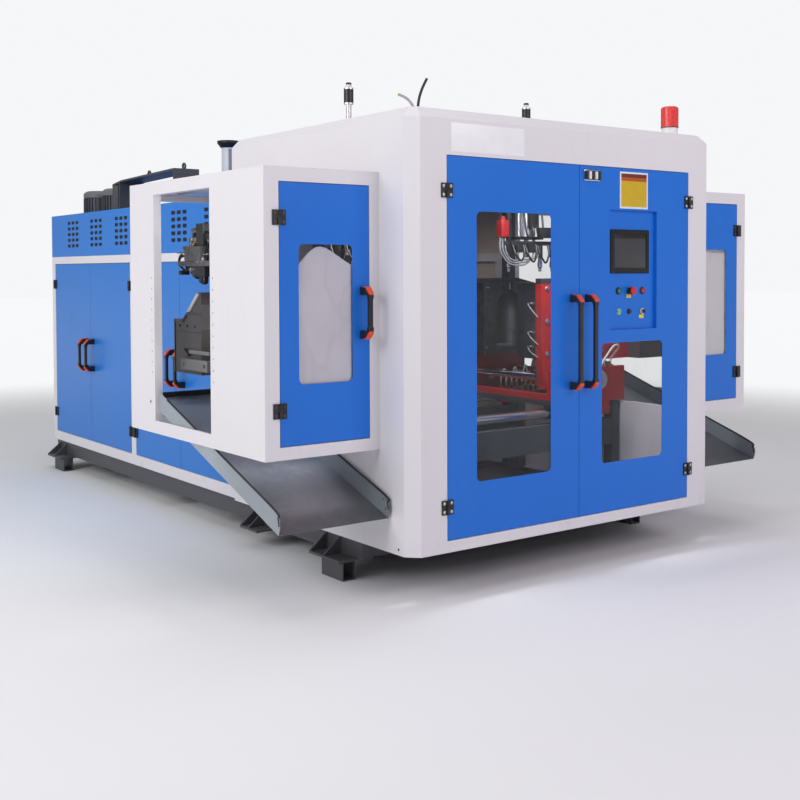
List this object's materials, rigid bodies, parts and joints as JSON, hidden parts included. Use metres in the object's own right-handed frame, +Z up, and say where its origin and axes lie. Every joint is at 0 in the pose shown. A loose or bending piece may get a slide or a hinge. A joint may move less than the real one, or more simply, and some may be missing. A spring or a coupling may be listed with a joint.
{
  "type": "blow moulding machine",
  "caption": "Enclosed double-station extrusion blow moulding machine with blue double doors, raised side wings over chutes, rear cabinets and a footed base.",
  "frame": {"origin": "on the floor at the middle of the machine's overall width and length", "axes": "+X to the operator's right, +Y from the front doors to the rear cabinets, +Z up"},
  "size_m": [3.163, 4.554, 2.416],
  "materials": {
    "panel_white": "fine textured powder coat",
    "panel_blue": "fine textured powder coat",
    "frame_grey": "satin machine enamel",
    "machine_red": "gloss machine enamel",
    "dark_casting": "satin machine enamel",
    "dark_steel": "heat-tinted steel",
    "tool_steel": "ground steel",
    "chrome_rod": "hard-chromed rod",
    "galvanised_sheet": "galvanised sheet",
    "mould_alloy": "milled alloy, oiled",
    "clear_sheet": "clear polycarbonate",
    "black_plastic": "moulded nylon",
    "black_gloss": "glossy moulded plastic",
    "white_plastic": "moulded plastic",
    "red_lens": "tinted translucent plastic",
    "green_plastic": "tinted button cap",
    "red_plastic": "moulded button cap",
    "cable_sheath": "flexible sheath"
  },
  "bodies": {
    "machine_base": {"base_frame": "frame_grey", "enclosure_front_frame": "panel_white", "enclosure_side_left": "panel_white", "enclosure_side_right": "panel_white", "enclosure_roof": "panel_white", "wing_left_shell": "panel_white", "wing_right_shell": "panel_white", "cabinet_frame": "panel_white", "cabinet_panels": "panel_blue", "door_hinges": "black_plastic", "beacon_base": "white_plastic", "beacon_lens": "red_lens", "extruder_barrel": "dark_steel", "extruder_drive": "dark_casting", "feed_hopper": "panel_white", "die_head": "dark_steel", "station_frame": "dark_casting", "station_cylinders": "tool_steel", "chute_left": "galvanised_sheet", "chute_right": "galvanised_sheet", "hydraulic_tank": "frame_grey", "roof_equipment": "dark_casting", "roof_cable_left": "cable_sheath", "roof_cable_right": "cable_sheath"},
    "front_door_left": {"front_door_left": "panel_blue", "front_window_left": "clear_sheet", "front_handle_left": "black_plastic"},
    "front_door_right": {"front_door_right": "panel_blue", "front_window_right": "clear_sheet", "front_handle_right": "black_plastic", "hmi_screen": "black_gloss"},
    "wing_door_left": {"wing_door_left": "panel_blue", "wing_window_left": "clear_sheet"},
    "wing_door_right": {"wing_door_right": "panel_blue", "wing_window_right": "clear_sheet"},
    "cabinet_door_1": {"cabinet_door_1": "panel_blue"},
    "cabinet_door_2": {"cabinet_door_2": "panel_blue"},
    "cabinet_door_3": {"cabinet_door_3": "panel_blue"},
    "cabinet_door_4": {"cabinet_door_4": "panel_blue"},
    "button_start": {"button_start": "green_plastic"},
    "button_stop": {"button_stop": "red_plastic"},
    "emergency_stop": {"emergency_stop": "red_plastic"},
    "button_heat": {"button_heat": "green_plastic"},
    "button_reset": {"button_reset": "black_gloss"},
    "key_selector": {"key_selector": "tool_steel"},
    "carriage_left": {"carriage_left": "machine_red"},
    "clamp_front_left": {"platen_front_left": "machine_red", "mould_front_left": "mould_alloy"},
    "clamp_rear_left": {"platen_rear_left": "machine_red", "mould_rear_left": "mould_alloy"},
    "blow_pin_left": {"blow_pin_left": "chrome_rod"},
    "deflash_head_left": {"deflash_head_left": "dark_casting"},
    "carriage_right": {"carriage_right": "machine_red"},
    "clamp_front_right": {"platen_front_right": "machine_red", "mould_front_right": "mould_alloy"},
    "clamp_rear_right": {"platen_rear_right": "machine_red", "mould_rear_right": "mould_alloy"},
    "blow_pin_right": {"blow_pin_right": "chrome_rod"},
    "deflash_head_right": {"deflash_head_right": "dark_casting"},
    "extruder_screw": {"extruder_screw": "tool_steel"}
  },
  "joints": [
    {"name": "front_door_left_swing", "type": "hinge", "parent": "machine_base", "child": "front_door_left", "pos_m": [-0.803, -2.215, 1.1], "axis": [0, 0, -1], "range_deg": [0, 110]},
    {"name": "front_door_right_swing", "type": "hinge", "parent": "machine_base", "child": "front_door_right", "pos_m": [0.803, -2.215, 1.1], "axis": [0, 0, 1], "range_deg": [0, 110]},
    {"name": "wing_door_left_swing", "type": "hinge", "parent": "machine_base", "child": "wing_door_left", "pos_m": [-1.5105, -1.985, 1.26], "axis": [0, 0, -1], "range_deg": [0, 110]},
    {"name": "wing_door_right_swing", "type": "hinge", "parent": "machine_base", "child": "wing_door_right", "pos_m": [1.5105, -1.985, 1.26], "axis": [0, 0, 1], "range_deg": [0, 110]},
    {"name": "cabinet_door_1_swing", "type": "hinge", "parent": "machine_base", "child": "cabinet_door_1", "pos_m": [-0.9795, -0.546, 0.88], "axis": [0, 0, 1], "range_deg": [0, 85]},
    {"name": "cabinet_door_2_swing", "type": "hinge", "parent": "machine_base", "child": "cabinet_door_2", "pos_m": [-0.9795, 0.766, 0.88], "axis": [0, 0, -1], "range_deg": [0, 85]},
    {"name": "cabinet_door_3_swing", "type": "hinge", "parent": "machine_base", "child": "cabinet_door_3", "pos_m": [-0.9795, 0.837, 0.88], "axis": [0, 0, 1], "range_deg": [0, 85]},
    {"name": "cabinet_door_4_swing", "type": "hinge", "parent": "machine_base", "child": "cabinet_door_4", "pos_m": [-0.9795, 2.213, 0.88], "axis": [0, 0, -1], "range_deg": [0, 85]},
    {"name": "button_start_press", "type": "slide", "parent": "front_door_right", "child": "button_start", "axis": [0, 1, 0], "range_m": [0, 0.004], "stiffness_N_per_m": 400},
    {"name": "button_stop_press", "type": "slide", "parent": "front_door_right", "child": "button_stop", "axis": [0, 1, 0], "range_m": [0, 0.004], "stiffness_N_per_m": 400},
    {"name": "button_heat_press", "type": "slide", "parent": "front_door_right", "child": "button_heat", "axis": [0, 1, 0], "range_m": [0, 0.004], "stiffness_N_per_m": 400},
    {"name": "button_reset_press", "type": "slide", "parent": "front_door_right", "child": "button_reset", "axis": [0, 1, 0], "range_m": [0, 0.004], "stiffness_N_per_m": 400},
    {"name": "emergency_stop_press", "type": "slide", "parent": "front_door_right", "child": "emergency_stop", "axis": [0, 1, 0], "range_m": [0, 0.005]},
    {"name": "key_selector_turn", "type": "hinge", "parent": "front_door_right", "child": "key_selector", "pos_m": [0.471, -2.207, 1.238], "axis": [0, 1, 0], "range_deg": [-45, 45]},
    {"name": "carriage_left_shuttle", "type": "slide", "parent": "machine_base", "child": "carriage_left", "axis": [1, 0, 0], "range_m": [0, 0.6215]},
    {"name": "carriage_right_shuttle", "type": "slide", "parent": "machine_base", "child": "carriage_right", "axis": [1, 0, 0], "range_m": [-0.6215, 0]},
    {"name": "clamp_front_left_close", "type": "slide", "parent": "carriage_left", "child": "clamp_front_left", "axis": [0, 1, 0], "range_m": [0, 0.1439]},
    {"name": "clamp_rear_left_close", "type": "slide", "parent": "carriage_left", "child": "clamp_rear_left", "axis": [0, 1, 0], "range_m": [-0.1439, 0]},
    {"name": "blow_pin_left_lower", "type": "slide", "parent": "machine_base", "child": "blow_pin_left", "axis": [0, 0, -1], "range_m": [0, 0.14]},
    {"name": "deflash_head_left_lower", "type": "slide", "parent": "machine_base", "child": "deflash_head_left", "axis": [0, 0, -1], "range_m": [0, 0.038]},
    {"name": "clamp_front_right_close", "type": "slide", "parent": "carriage_right", "child": "clamp_front_right", "axis": [0, 1, 0], "range_m": [0, 0.1439]},
    {"name": "clamp_rear_right_close", "type": "slide", "parent": "carriage_right", "child": "clamp_rear_right", "axis": [0, 1, 0], "range_m": [-0.1439, 0]},
    {"name": "blow_pin_right_lower", "type": "slide", "parent": "machine_base", "child": "blow_pin_right", "axis": [0, 0, -1], "range_m": [0, 0.14]},
    {"name": "deflash_head_right_lower", "type": "slide", "parent": "machine_base", "child": "deflash_head_right", "axis": [0, 0, -1], "range_m": [0, 0.038]},
    {"name": "extruder_screw_spin", "type": "hinge", "parent": "machine_base", "child": "extruder_screw", "pos_m": [0, 0.293, 1.735], "axis": [0, 1, 0], "continuous": true}
  ],
  "couplings": [
    {"joint": "clamp_rear_left_close", "follows": "clamp_front_left_close", "ratio": -1},
    {"joint": "clamp_rear_right_close", "follows": "clamp_front_right_close", "ratio": -1}
  ]
}
